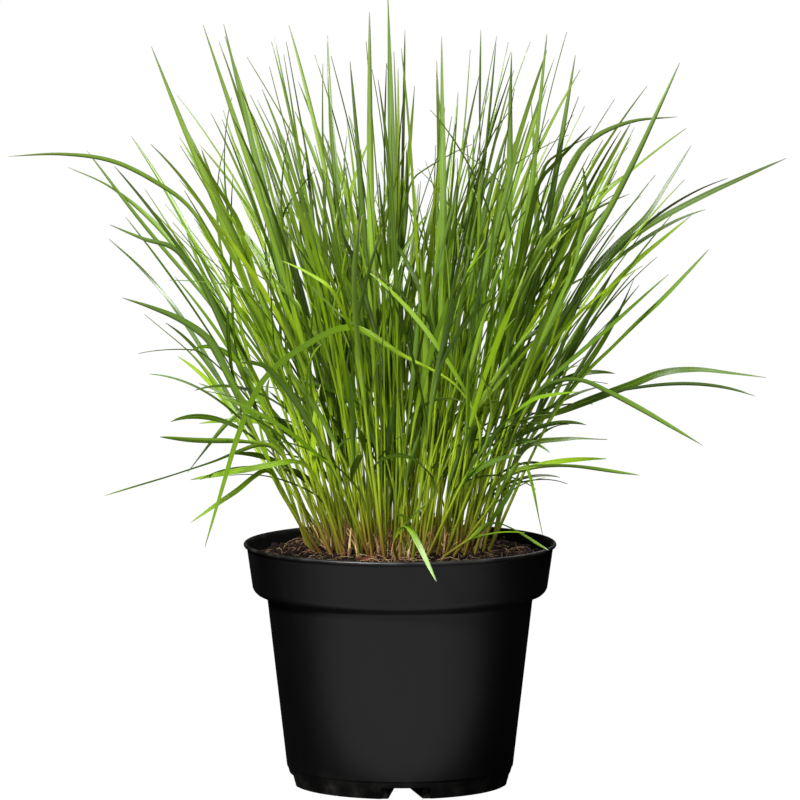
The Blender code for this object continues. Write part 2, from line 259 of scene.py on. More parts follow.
def pot_paint():
    """Thin black moulded plastic: a satin skin with a fine orange-peel grain, faint flow marks, and a
    paler grey at the lip and the foot, partly settled dust and partly a painted highlight."""
    paint = Paint("black_plastic")
    flow = paint.noise(14.0, 4.0, (1.0, 1.0, 0.30))
    grain = paint.noise(1500.0, 2.0)
    patchy = paint.noise(55.0, 5.0)
    z = paint.height()
    # paler grey towards the foot and at the lip: partly settled dust, partly a painted highlight on the
    # lip and the foot crease
    foot_dust_and_highlight = paint.span(z, 0.020, 0.0, 0.0, 0.35)
    lip_dust_and_highlight = paint.span(z, POT_HEIGHT - 0.0045, POT_HEIGHT - 0.0005, 0.0, 0.45)
    dust_and_highlight = paint.sum("MULTIPLY", paint.sum("ADD", foot_dust_and_highlight, lip_dust_and_highlight), paint.span(patchy, 0.40, 0.75))
    black = paint.mix(paint.span(flow, 0.3, 0.7), tint(2, 2, 2), tint(4, 4, 4))
    dusty_and_highlit = paint.mix(dust_and_highlight, black, tint(58, 54, 50))
    roughness = paint.sum("ADD", paint.span(flow, 0.3, 0.7, 0.39, 0.45), paint.sum("MULTIPLY", dust_and_highlight, 0.3))
    paint.shader.inputs["Specular IOR Level"].default_value = 0.4
    return paint.finish(Base_Color=dusty_and_highlit, Roughness=roughness, Normal=paint.bump(grain, 0.12, 0.0002))


# ---------------------------------------------------------------- objects


def show(piece, surface):
    """Links a finished piece to the scene with its material, and ties it to the frame."""
    if piece.name not in bpy.context.scene.collection.objects:
        bpy.context.scene.collection.objects.link(piece)
    piece.data.materials.clear()
    piece.data.materials.append(surface)
    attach(piece, BODY)
    return piece


def smoothly(value, low, high):
    """A smooth step from 0 at low to 1 at high."""
    share = np.clip((np.asarray(value, float) - low) / (high - low), 0.0, 1.0)
    return share * share * (3 - 2 * share)


def unit(vectors):
    return vectors / np.maximum(np.linalg.norm(vectors, axis=-1, keepdims=True), 1e-12)


# ---------------------------------------------------------------- blades

CORNERS = 8
CORNER_ANGLES = np.arange(CORNERS) * math.tau / CORNERS
ACROSS = np.array((1.0, 0.55, 0.0, -0.55, -1.0, -0.55, 0.0, 0.55))
SHEET = np.array((0.0, 0.5, 0.4, 0.5, 0.0, -0.5, -0.8, -0.5))
UNDER = np.array((0.5, 0.0, 0.0, 0.0, 0.5, 1.0, 1.0, 1.0))
BLADE_EDGE_ANGLE = math.radians(70)
CELLS_IN_A_ROW = 48
CELL_USED = 0.92


class Foliage:
    """Closed blades gathered for one piece, each with eight corners to a section."""

    def __init__(self):
        self.points, self.facts, self.stations = [], [], []

    def add(self, path, side, width, thickness, fold, roundness, tone, dry):
        """One blade along the path. Arrays give a value for each station, from root to tip."""
        ahead = unit(np.gradient(path, axis=0))
        side = unit(side - ahead * (side * ahead).sum(axis=1, keepdims=True))
        face = np.cross(ahead, side)
        half = width[:, None] / 2
        share = roundness[:, None]
        flat_up = half * fold[:, None] * np.abs(ACROSS) + thickness[:, None] * SHEET
        out = half * (ACROSS * (1 - share) + np.cos(CORNER_ANGLES) * share)
        lift = flat_up * (1 - share) + half * np.sin(CORNER_ANGLES) * share
        corners = path[:, None] + out[..., None] * side[:, None] + lift[..., None] * face[:, None]
        tip = path[-1] + ahead[-1] * width[-1]
        self.points.append(np.vstack((corners.reshape(-1, 3), tip)))

        count = len(path)
        along = np.repeat(np.linspace(0.0, 1.0, count), CORNERS)
        across = np.tile(ACROSS, count)
        under = (UNDER * (1 - share)).reshape(-1)
        leafy = np.repeat(1 - roundness, CORNERS)
        facts = np.column_stack((along, across, under, leafy))
        facts = np.vstack((facts, (1.0, 0.0, 0.0, 1.0)))
        plain = np.broadcast_to((tone, 0.0), (len(facts), 2)).copy()
        plain[:-1, 1] = np.repeat(dry, CORNERS)
        plain[-1, 1] = dry[-1]
        self.facts.append(np.hstack((facts, plain)))
        self.stations.append(count)

    def faces_of(self, count, first):
        """The blade's faces, and its corners' places in its own cell of the bake's map."""
        faces, places = [], []
        step = 1.0 / (count + 1)
        for row in range(count - 1):
            for column in range(CORNERS):
                after = (column + 1) % CORNERS
                low, high = first + row * CORNERS, first + (row + 1) * CORNERS
                faces.append((low + column, low + after, high + after, high + column))
                left, right = column / CORNERS, (column + 1) / CORNERS
                bottom, top = (row + 1) * step, (row + 2) * step
                places += [(left, bottom), (right, bottom), (right, top), (left, top)]
        tip, last = first + count * CORNERS, first + (count - 1) * CORNERS
        for column in range(CORNERS):
            faces.append((last + column, last + (column + 1) % CORNERS, tip))
            left, right = column / CORNERS, (column + 1) / CORNERS
            places += [(left, 1 - step), (right, 1 - step), ((left + right) / 2, 1.0)]
        faces.append(tuple(first + column for column in reversed(range(CORNERS))))
        for angle in reversed(CORNER_ANGLES):
            places.append((0.5 + 0.4 * math.cos(angle), step * (0.5 + 0.45 * math.sin(angle))))
        return faces, places

    def piece(self, name):
        """One object of all the blades."""
        blades = len(self.points)
        rows = math.ceil(blades / CELLS_IN_A_ROW)
        columns = math.ceil(blades / rows)
        faces, places, first = [], [], 0
        for index, count in enumerate(self.stations):
            blade_faces, blade_places = self.faces_of(count, first)
            faces += blade_faces
            corner = np.array((index % columns, index // columns), float)
            places.append((corner + np.array(blade_places) * CELL_USED) / (columns, rows))
            first += count * CORNERS + 1
        mesh = bpy.data.meshes.new(name)
        mesh.from_pydata(np.vstack(self.points).tolist(), [], faces)
        mesh.shade_smooth()
        mesh.set_sharp_from_angle(angle=BLADE_EDGE_ANGLE)
        layer = mesh.uv_layers.new(name="OFBake")
        layer.data.foreach_set("uv", np.vstack(places).reshape(-1))
        facts = np.vstack(self.facts)
        for column, fact in enumerate(("along", "across", "under", "leafy", "tone", "dry")):
            attribute = mesh.attributes.new(fact, "FLOAT", "POINT")
            attribute.data.foreach_set("value", facts[:, column].astype(np.float32))
        return bpy.data.objects.new(name, mesh)


# how far from the axis the inner shoots and the side leaves may reach, sideways and front to back
INNER_REACH = np.array((0.74 * cad_box[1][0], 0.93 * cad_box[1][1]))
LEAF_REACH = np.array((0.98 * cad_box[1][0], 0.98 * cad_box[1][1]))


def within(path, reach):
    """Whether the whole path keeps inside the reach, in plan."""
    return bool((np.abs(path[:, :2]) < reach).all())


def walk(start, directions, length):
    """The path that leaves start and follows the directions, in equal steps."""
    directions = unit(directions)
    steps = (directions[1:] + directions[:-1]) / 2 * length / (len(directions) - 1)
    return np.vstack((start, start + np.cumsum(steps, axis=0)))


def headings(azimuth, lean):
    """Unit directions that lean from the vertical towards the azimuth."""
    return np.column_stack((np.sin(lean) * np.cos(azimuth), np.sin(lean) * np.sin(azimuth), np.cos(lean)))


def turned_side(path, start_side, twist):
    """The blade's side direction at each station, carried along the path and twisted about it."""
    ahead = unit(np.gradient(path, axis=0))
    side = unit(start_side - ahead * (ahead @ start_side)[:, None])
    face = np.cross(ahead, side)
    return side * np.cos(twist)[:, None] + face * np.sin(twist)[:, None]


BLADE_STATIONS = 34
LEAF_STATIONS = 26
SHEET_THICKNESS = 0.00055
TIP_WIDTH = 0.00045

# a blade's stem width, its greatest width, and its tone from 0, pale, to 1, dark
Blade = namedtuple("Blade", "stem widest tone")


def blade_width(share, blade, stem_ends, opens):
    """The width along a shoot: a round stem, a blade that opens slowly, and a taper to a point."""
    opened = smoothly(share, stem_ends, opens)
    below = blade.stem * (1.0 - 0.3 * np.minimum(share / stem_ends, 1.0))
    width = below * (1 - opened) + blade.widest * opened
    taper = np.clip((share - opens) / (1 - opens), 0.0, 1.0)
    return TIP_WIDTH + (width - TIP_WIDTH) * (1 - taper**2.7) ** 0.85


def leaf_width(share, blade):
    """The width along a side leaf: it clasps the stem, widens, and tapers to a point."""
    opened = smoothly(share, 0.0, 0.42)
    width = blade.stem + (blade.widest - blade.stem) * opened
    taper = np.clip((share - 0.42) / 0.58, 0.0, 1.0)
    return TIP_WIDTH + (width - TIP_WIDTH) * (1 - taper**2.4) ** 0.85


def add_shoot(foliage, rng, path, side, blade, opening, twist, ripple):
    """The stem with the blade that continues it. The opening is where the stem ends and where the
    blade is open, the twist is the turn at the root and at the tip, and the ripple is how far the
    blade turns to and fro between them."""
    share = np.linspace(0.0, 1.0, len(path))
    flat = smoothly(share, *opening)
    dry = rng.choice((0.0, 0.0, 0.0, 0.0, 0.15)) * smoothly(share, rng.uniform(0.80, 0.94), 1.0)
    turn = twist[0] + (twist[1] - twist[0]) * smoothly(share, 0.15, 1.0)
    turn = turn + ripple * np.sin(share * rng.uniform(6, 11) + rng.uniform(0, 6)) * flat
    foliage.add(
        path,
        turned_side(path, side, turn),
        blade_width(share, blade, *opening),
        np.full(len(path), SHEET_THICKNESS) * (1.6 - 0.9 * share),
        rng.uniform(0.18, 0.50) * (1 - 0.5 * share),
        1 - flat,
        blade.tone,
        dry,
    )


def add_leaf(foliage, rng, path, start, out, length, spread, droop, blade):
    """A leaf that leaves the shoot's path at a share of its length, towards out, and droops. It is
    left out where it would reach the soil or go too far out."""
    place = start * (len(path) - 1)
    index = int(place)
    origin = path[index] + (path[index + 1] - path[index]) * (place - index)
    ahead = unit(path[index + 1] - path[index])
    away = unit(out - ahead * (ahead @ out))
    share = np.linspace(0.0, 1.0, LEAF_STATIONS)
    angle = spread * smoothly(share, 0.0, 0.30) + droop * share**1.7
    if rng.random() < 0.10:
        angle = angle + rng.uniform(0.25, 0.8) * smoothly(share, 0.62, 0.68)
    sideways = rng.normal(0, 0.12) * share + rng.normal(0, 0.05) * np.sin(share * 5)
    sway = np.cross(ahead, away) * sideways[:, None]
    directions = ahead * np.cos(angle)[:, None] + away * np.sin(angle)[:, None] + sway
    line = walk(origin, directions, length)
    if line[:, 2].min() < SOIL_TOP + 0.004 or not within(line, LEAF_REACH):
        return
    twist = rng.normal(0, 0.9) * share**1.2
    dry = rng.choice((0.0, 0.0, 0.0, 0.4)) * smoothly(share, rng.uniform(0.78, 0.94), 1.0)
    foliage.add(
        line,
        turned_side(line, np.cross(ahead, away), twist),
        leaf_width(share, blade),
        np.full(LEAF_STATIONS, SHEET_THICKNESS) * (1.4 - 0.8 * share),
        rng.uniform(0.15, 0.45) * (1 - 0.5 * share),
        0.75 * (1 - smoothly(share, 0.0, 0.16)),
        blade.tone,
        dry,
    )


def add_leaves(foliage, rng, path, count, starts, length, droop, blade):
    """Leaves on alternate sides of a shoot, between the two starts, the higher ones shorter."""
    facing = rng.uniform(0, math.tau)
    for number in range(count):
        start = starts[0] + (starts[1] - starts[0]) * (number + rng.uniform(0.2, 0.8)) / count
        azimuth = facing + number * math.pi + rng.normal(0, 0.35)
        out = np.array((math.cos(azimuth), math.sin(azimuth), 0.0))
        reach = length * rng.uniform(0.65, 1.1) * (1.05 - 0.4 * start)
        spread = math.radians(rng.uniform(5, 20))
        tone = float(np.clip(blade.tone + rng.normal(0, 0.18), 0, 1))
        leaf_droop = droop * rng.uniform(0.1, 1.0)
        leaf = Blade(blade.stem, blade.widest * rng.uniform(0.75, 1.05), tone)
        add_leaf(foliage, rng, path, start, out, reach, spread, leaf_droop, leaf)


# ---------------------------------------------------------------- outer shoots


def shoot_rings(name):
    """The sections of a packed shoot from root to tip: each ring's corners, found ring by ring
    along the edges, from the lowest one inside the clump. Some tips hang lower than that."""
    shape = bmesh.new()
    shape.from_mesh(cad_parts[name].data)
    bmesh.ops.remove_doubles(shape, verts=shape.verts, dist=0.02 * MM)
    central = [vertex for vertex in shape.verts if vertex.co.xy.length < 1.2 * CLUMP_RADIUS]
    lowest = min(vertex.co.z for vertex in central)
    ring = [vertex for vertex in central if vertex.co.z < lowest + 0.05 * MM]
    seen, rings = set(ring), []
    while ring:
        rings.append(np.array([vertex.co for vertex in ring]))
        joined = {edge.other_vert(vertex) for vertex in ring for edge in vertex.link_edges}
        ring = sorted(joined - seen, key=lambda vertex: vertex.index)
        seen |= joined
    shape.free()
    return rings


def smooth_line(points, count):
    """A smooth curve through the points, read at equal shares of its length."""
    ends = np.vstack((2 * points[0] - points[1], points, 2 * points[-1] - points[-2]))
    fine = []
    for span in range(len(points) - 1):
        a, b, c, d = ends[span : span + 4]
        for t in np.linspace(0.0, 1.0, 8, endpoint=False):
            curve = 2 * b + (c - a) * t + (2 * a - 5 * b + 4 * c - d) * t**2
            fine.append(0.5 * (curve + (3 * b - 3 * c + d - a) * t**3))
    fine = np.vstack((fine, points[-1]))
    length = np.concatenate(((0.0,), np.cumsum(np.linalg.norm(np.diff(fine, axis=0), axis=1))))
    wanted = np.linspace(0.0, length[-1], count)
    return np.column_stack([np.interp(wanted, length, fine[:, axis]) for axis in range(3)])


def outer_shoots(side, nodes, seed, surface):
    """The shoots of one side of the clump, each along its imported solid, joined in one piece."""
    rng = np.random.default_rng(seed)
    foliage = Foliage()
    for name in nodes:
        rings = shoot_rings(name)
        line = smooth_line(np.array([ring.mean(axis=0) for ring in rings]), 2 * BLADE_STATIONS)
        spans = [np.linalg.norm(ring[:, None] - ring[None], axis=2).max() for ring in rings]
        length = np.linalg.norm(np.diff(line, axis=0), axis=1).sum()
        outward = unit(np.array((line[-1][0] - line[0][0], line[-1][1] - line[0][1], 0.0)))
        start_side = unit(np.cross(UP, outward) + 0.2 * rng.normal(size=3))
        sideways = rng.choice((-1, 1)) * abs(outward[0])
        twist = (sideways * rng.uniform(1.0, 1.4), sideways * rng.uniform(0.9, 1.3) + rng.normal(0, 0.12))
        tone = rng.uniform(0.3, 0.95)
        widest = 0.95 * max(spans)
        blade = Blade(rng.uniform(2.2, 2.9) * MM, widest, tone)
        opening = (rng.uniform(0.26, 0.36), rng.uniform(0.50, 0.60))
        add_shoot(foliage, rng, line, start_side, blade, opening, twist, rng.uniform(0.2, 0.7))
        leaf = Blade(1.8 * MM, 0.85 * widest, tone)
        add_leaves(foliage, rng, line, 2, (0.22, 0.56), min(0.55 * length, 0.19), 0.7, leaf)
    piece = show(foliage.piece(f"grass_{side}"), surface)
    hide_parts(*nodes)


# ---------------------------------------------------------------- inner shoots

INNER_SHOOTS = 245
INNER_LENGTH = (0.150, 0.395)
LOW_LEAF_CHANCE = 0.45
SLOPE_RADIUS = 0.080
SLOPE_DROP = 0.002


def soil_height(radius):
    """The packed soil's height at this distance from the axis, by its straight upper slope."""
    return SOIL_TOP - SLOPE_DROP * min(radius / SLOPE_RADIUS, 1.0)


def tuft_feet():
    """The place of each packed tuft's foot on the soil."""
    feet = {}
    for name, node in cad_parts.items():
        if name.startswith("tuft_"):
            places = np.array([vertex.co for vertex in node.data.vertices])
            feet[name] = places[places[:, 2] < places[:, 2].min() + 0.010][:, :2].mean(axis=0)
    return feet


def inner_path(rng, radius, azimuth):
    """A shoot that leans out more the further it stands from the middle, and bends as it rises. It
    is shortened until it keeps within reach."""
    share = radius / CLUMP_RADIUS
    lean_at_root = math.radians(rng.normal(1.5 + 14 * share, 6.0))
    bend = math.radians(rng.normal(4 + 18 * share, 6.0))
    heading = azimuth + rng.normal(0, 0.38 + 0.7 * (1 - share))
    length = INNER_LENGTH[0] + (INNER_LENGTH[1] - INNER_LENGTH[0]) * rng.random() ** 0.6
    stations = np.linspace(0.0, 1.0, BLADE_STATIONS)
    lean = lean_at_root + bend * stations**1.5 + rng.normal(0, 0.02) * np.sin(stations * 7)
    if rng.random() < 0.05:
        lean = lean + rng.uniform(0.2, 0.7) * smoothly(stations, 0.74, 0.79)
    swing = heading + rng.normal(0, 0.25) * stations
    foot = soil_height(radius) - 0.001
    root = np.array((radius * math.cos(azimuth), radius * math.sin(azimuth), foot))
    path = walk(root, headings(swing, lean), length)
    while not within(path, INNER_REACH):
        length *= 0.94
        path = walk(root, headings(swing, lean), length)
    return path


def add_low_leaf(foliage, rng, path, azimuth, stem):
    """A short leaf that hangs out from low on a shoot, in a dark tone that paints the shade it hangs in
    under the clump.
    """
    azimuth = azimuth + rng.normal(0, 0.6)
    out = np.array((math.cos(azimuth), math.sin(azimuth), 0.0))
    spread = math.radians(rng.uniform(8, 45))
    start = rng.uniform(0.08, 0.34)
    length = rng.uniform(0.06, 0.13)
    droop = rng.uniform(0.2, 1.3)
    # a dark tone from 0.7 to 1: painted shade under the clump
    leaf = Blade(stem, rng.uniform(3.5, 6.0) * MM, rng.uniform(0.7, 1.0))
    add_leaf(foliage, rng, path, start, out, length, spread, droop, leaf)


def add_inner_shoot(foliage, rng, path, azimuth):
    """A shoot along the path with none to two leaves, and perhaps one more low down."""
    tone = rng.uniform(0.0, 1.0)
    blade = Blade(rng.uniform(1.1, 2.1) * MM, rng.uniform(2.1, 4.7) * MM, tone)
    facing = rng.uniform(0, math.tau)
    side = np.array((math.cos(facing), math.sin(facing), 0.0))
    opening = (rng.uniform(0.30, 0.42), rng.uniform(0.54, 0.68))
    twist = (0.0, rng.normal(0, 1.0))
    add_shoot(foliage, rng, path, side, blade, opening, twist, rng.uniform(0.0, 0.3))
    leaf = Blade(0.8 * blade.stem, 0.9 * blade.widest, tone)
    add_leaves(foliage, rng, path, rng.integers(0, 3), (0.20, 0.60), 0.17, 0.45, leaf)
    if rng.random() < LOW_LEAF_CHANCE:
        add_low_leaf(foliage, rng, path, azimuth, leaf.stem)


def inner_shoots(surfaces):
    """All the shoots inside the clump, shared out by the nearest packed tuft."""
    rng = np.random.default_rng(11)
    feet = tuft_feet()
    gathered = {name: Foliage() for name in feet}
    for index in range(INNER_SHOOTS):
        radius = CLUMP_RADIUS * math.sqrt((index + 0.5) / INNER_SHOOTS) + rng.normal(0, 2.2) * MM
        azimuth = index * GOLDEN_ANGLE + rng.normal(0, 0.08)
        path = inner_path(rng, radius, azimuth)
        name = min(feet, key=lambda foot: float(np.linalg.norm(feet[foot] - path[0][:2])))
        add_inner_shoot(gathered[name], rng, path, azimuth)
    for number, (name, foliage) in enumerate(sorted(gathered.items())):
        piece = show(foliage.piece(f"grass_{name}"), surfaces[number % len(surfaces)])
        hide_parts(name)


# ---------------------------------------------------------------- pot

TURN_STEPS = 192


def lathe(name, profile):
    """A solid of revolution about Z from (radius, height) points, given top to bottom outside."""
    mesh = bpy.data.meshes.new(name)
    points = [(radius, 0.0, height) for radius, height in profile]
    mesh.from_pydata(points, [(i, i + 1) for i in range(len(points) - 1)], [])
    piece = bpy.data.objects.new(name, mesh)
    bpy.context.scene.collection.objects.link(piece)
    screw = piece.modifiers.new("turn", "SCREW")
    screw.steps = screw.render_steps = TURN_STEPS
    screw.use_merge_vertices = True
    screw.merge_threshold = 0.00003
    return piece


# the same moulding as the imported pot, with rounder turns
WALL = 0.0012
FLOOR = 0.0014
COLLAR_TOP_R = RIM_RADIUS - 0.0024
COLLAR_FOOT_R = RIM_RADIUS - 0.0064
COLLAR_FOOT_Z = 0.1469
BODY_TOP_R = 0.0974
BODY_TOP_Z = 0.1359
BODY_FOOT_R = 0.0834
CREASE_Z = 0.0130
BASE_R = 0.0790


def arc(centre, radius, first, last, count):
    """Points (radius, height) round an arc, with angles in degrees from outward."""
    angles = np.radians(np.linspace(first, last, count))
    return [(centre[0] + radius * math.cos(a), centre[1] + radius * math.sin(a)) for a in angles]


def pot_outside():
    lip = arc((RIM_RADIUS - 0.0014, POT_HEIGHT - 0.0014), 0.0014, 90, -50, 8)
    shoulder = [
        (COLLAR_FOOT_R, COLLAR_FOOT_Z),
        (COLLAR_FOOT_R - 0.0003, COLLAR_FOOT_Z - 0.0016),
        (COLLAR_FOOT_R - 0.0011, COLLAR_FOOT_Z - 0.0032),
        (COLLAR_FOOT_R - 0.0022, COLLAR_FOOT_Z - 0.0046),
        (COLLAR_FOOT_R - 0.0036, COLLAR_FOOT_Z - 0.0058),
        (BODY_TOP_R + 0.0026, BODY_TOP_Z + 0.0034),
        (BODY_TOP_R + 0.0012, BODY_TOP_Z + 0.0018),
        (BODY_TOP_R + 0.0004, BODY_TOP_Z + 0.0008),
        (BODY_TOP_R, BODY_TOP_Z - 0.0006),
    ]
    foot = [
        (BODY_FOOT_R, CREASE_Z + 0.0008),
        (BODY_FOOT_R - 0.0002, CREASE_Z + 0.0002),
        (BODY_FOOT_R - 0.0007, CREASE_Z - 0.0003),
        (BODY_FOOT_R - 0.0009, CREASE_Z - 0.0009),
        (BASE_R + 0.0006, 0.0012),
        (BASE_R + 0.0003, 0.0004),
        (BASE_R - 0.0004, 0.0),
    ]
    return lip + [(COLLAR_TOP_R, POT_HEIGHT - 0.0036)] + shoulder + foot


def pot_inside():
    return [
        (BASE_R - 0.0010, FLOOR),
        (BODY_FOOT_R - WALL - 0.0002, CREASE_Z + 0.0008),
        (BODY_TOP_R - WALL, BODY_TOP_Z + 0.0004),
        (BODY_TOP_R + 0.0005, BODY_TOP_Z + 0.0032),
        (COLLAR_FOOT_R - 0.0045, COLLAR_FOOT_Z - 0.0046),
        (COLLAR_FOOT_R - 0.0022, COLLAR_FOOT_Z - 0.0024),
        (COLLAR_FOOT_R - WALL, COLLAR_FOOT_Z + 0.0004),
        (COLLAR_TOP_R - WALL, POT_HEIGHT - 0.0030),
        (RIM_RADIUS - 0.0026, POT_HEIGHT - 0.0008),
        (RIM_RADIUS - 0.0019, POT_HEIGHT),
    ]


CHANNELS = 4
CHANNEL_OFFSET = math.radians(3.0)
CHANNEL_HEIGHT = 0.0086
# one side of a channel's plan: (radius, half width), narrow inside and widest at the foot ring
CHANNEL_PLAN = ((0.024, 0.0050), (0.0755, 0.0125), (0.0755, 0.0182), (0.100, 0.0182))
DRAIN_RADIUS = 0.0045
DRAIN_AT = 0.062


def channel_azimuths():
    return [CHANNEL_OFFSET - math.pi / 2 + index * math.tau / CHANNELS for index in range(CHANNELS)]


def upright_prisms(name, outlines, low, high):
    """Closed prisms over plan outlines, as one cutter."""
    points, faces = [], []
    for outline in outlines:
        first, count = len(points), len(outline)
        points += [(x, y, low) for x, y in outline] + [(x, y, high) for x, y in outline]
        faces.append([first + i for i in reversed(range(count))])
        faces.append([first + count + i for i in range(count)])
        for i in range(count):
            j = (i + 1) % count
            faces.append([first + i, first + j, first + count + j, first + count + i])
    mesh = bpy.data.meshes.new(name)
    mesh.from_pydata(points, [], faces)
    piece = bpy.data.objects.new(name, mesh)
    bpy.context.scene.collection.objects.link(piece)
    return piece


def channel_cutter(name, grow):
    outlines = []
    plan = [(radius - grow * (radius < 0.099), half + grow) for radius, half in CHANNEL_PLAN]
    flat = plan + [(radius, -half) for radius, half in reversed(plan)]
    for azimuth in channel_azimuths():
        c, s = math.cos(azimuth), math.sin(azimuth)
        outlines.append([(x * c + y * s, x * s - y * c) for x, y in flat])
    return upright_prisms(name, outlines, -0.004, CHANNEL_HEIGHT + grow)


def drain_cutter():
    outlines = []
    for azimuth in channel_azimuths():
        middle = (DRAIN_AT * math.cos(azimuth), DRAIN_AT * math.sin(azimuth))
        outlines.append(arc(middle, DRAIN_RADIUS, 0, 345, 24))
    return upright_prisms("drain_cutter", outlines, CHANNEL_HEIGHT - 0.002, CHANNEL_HEIGHT + 0.003)


def cut(piece, cutter):
    boolean = piece.modifiers.new("cut", "BOOLEAN")
    boolean.object = cutter


def make_pot():
    outside = [(0.0, POT_HEIGHT)] + pot_outside() + [(0.0, 0.0)]
    above = POT_HEIGHT + 0.02
    inside = [(0.0, FLOOR)] + pot_inside() + [(RIM_RADIUS - 0.0019, above), (0.0, above)]
    shell, cavity = lathe("shell", outside), lathe("cavity", inside[::-1])
    covers, channels = channel_cutter("covers", WALL), channel_cutter("channels", 0.0)
    drains = drain_cutter()
    cut(cavity, covers)
    cut(shell, channels)
    cut(shell, cavity)
    cut(shell, drains)
    bevel = shell.modifiers.new("soft edges", "BEVEL")
    bevel.width = 0.00025
    bevel.segments = 2
    bevel.limit_method = "ANGLE"
    bevel.angle_limit = math.radians(50)
    graph = bpy.context.evaluated_depsgraph_get()
    mesh = bpy.data.meshes.new_from_object(shell.evaluated_get(graph))
    for helper in (shell, cavity, covers, channels, drains):
        bpy.data.objects.remove(helper)
    mesh.shade_smooth()
    mesh.set_sharp_from_angle(angle=math.radians(32))
    mesh.name = "pot_shell"
    pot = show(bpy.data.objects.new("pot_shell", mesh), pot_paint())
    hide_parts("pot")


# ---------------------------------------------------------------- soil, litter and dead sheaths

SOIL_RINGS = 70
SOIL_SPOKES = 220
SOIL_EDGE_R = 0.1078
SOIL_PROFILE = ((0.0, 0.1732), (0.080, 0.1714), (0.100, 0.1676), (0.1090, 0.1636))


def soil_base(radius):
    return np.interp(radius, *zip(*SOIL_PROFILE))


def rough_soil(x, y):
    """How far the loose surface stands over the packed soil's smooth top."""
    where = Vector((x, y, 0.0))
    lumps = noise.fractal(where * 90, 0.9, 2.1, 5)
    crumbs = abs(noise.noise(where * 420)) + 0.5 * abs(noise.noise(where * 900))
    return max(0.0018 + 0.0016 * lumps + 0.0016 * crumbs, 0.0002)


def make_soil_surface(surface):
    """The loose top of the soil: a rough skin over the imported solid, closed underneath."""
    points = [(0.0, 0.0, float(soil_base(0.0)) + rough_soil(0.0, 0.0))]
    for ring in range(1, SOIL_RINGS + 1):
        radius = SOIL_EDGE_R * (ring / SOIL_RINGS) ** 0.9
        for spoke in range(SOIL_SPOKES):
            azimuth = (spoke + 0.5 * (ring % 2)) * math.tau / SOIL_SPOKES
            x, y = radius * math.cos(azimuth), radius * math.sin(azimuth)
            points.append((x, y, float(soil_base(radius)) + rough_soil(x, y)))
    faces = [(0, 1 + spoke, 1 + (spoke + 1) % SOIL_SPOKES) for spoke in range(SOIL_SPOKES)]
    for ring in range(SOIL_RINGS - 1):
        inner, outer = 1 + ring * SOIL_SPOKES, 1 + (ring + 1) * SOIL_SPOKES
        for spoke in range(SOIL_SPOKES):
            after = (spoke + 1) % SOIL_SPOKES
            faces.append((inner + spoke, outer + spoke, outer + after, inner + after))
    rim = 1 + (SOIL_RINGS - 1) * SOIL_SPOKES
    below = len(points)
    for spoke in range(SOIL_SPOKES):
        x, y, z = points[rim + spoke]
        points.append((x, y, float(soil_base(SOIL_EDGE_R)) - 0.003))
    points.append((0.0, 0.0, float(soil_base(SOIL_EDGE_R)) - 0.003))
    for spoke in range(SOIL_SPOKES):
        after = (spoke + 1) % SOIL_SPOKES
        faces.append((rim + spoke, below + spoke, below + after, rim + after))
        faces.append((below + spoke, len(points) - 1, below + after))
    mesh = bpy.data.meshes.new("soil_surface")
    mesh.from_pydata(points, [], faces)
    mesh.shade_smooth()
    show(bpy.data.objects.new("soil_surface", mesh), surface)


def ball(subdivisions):
    """The points and faces of an icosphere of radius 1."""
    shape = bmesh.new()
    bmesh.ops.create_icosphere(shape, subdivisions=subdivisions, radius=1.0)
    points = np.array([vertex.co for vertex in shape.verts])
    faces = np.array([[vertex.index for vertex in face.verts] for face in shape.faces])
    shape.free()
    return points, faces


def random_turn(rng):
    """A random rotation matrix."""
    matrix, _ = np.linalg.qr(rng.normal(size=(3, 3)))
    return matrix * np.sign(np.linalg.det(matrix))


def make_lumps(name, rng, count, smallest, largest, flatness, surface, subdivisions=1):
    """Irregular crumbs scattered over the soil, sunk a little into it."""
    points, faces = ball(subdivisions)
    all_points, all_faces = [], []
    for index in range(count):
        radius = (SOIL_EDGE_R - 0.004) * math.sqrt(rng.random())
        azimuth = rng.uniform(0, math.tau)
        x, y = radius * math.cos(azimuth), radius * math.sin(azimuth)
        size = smallest + (largest - smallest) * rng.random() ** 3
        stretch = rng.uniform(0.6, 1.3, 3) * (1.0, 1.0, flatness)
        lump = points * rng.uniform(0.75, 1.2, (len(points), 1)) @ random_turn(rng)
        lump = lump * stretch * size
        z = float(soil_base(radius)) + rough_soil(x, y) + 0.25 * size * flatness
        all_points.append(lump + (x, y, z))
        all_faces.append(faces + index * len(points))
    mesh = bpy.data.meshes.new(name)
    mesh.from_pydata(np.vstack(all_points).tolist(), [], np.vstack(all_faces).tolist())
    show(bpy.data.objects.new(name, mesh), surface)


LITTER_PIECES = 460
LITTER_STATIONS = 12
SHEATHS = 520
SHEATH_STATIONS = 9
PAPER_THICKNESS = 0.0003


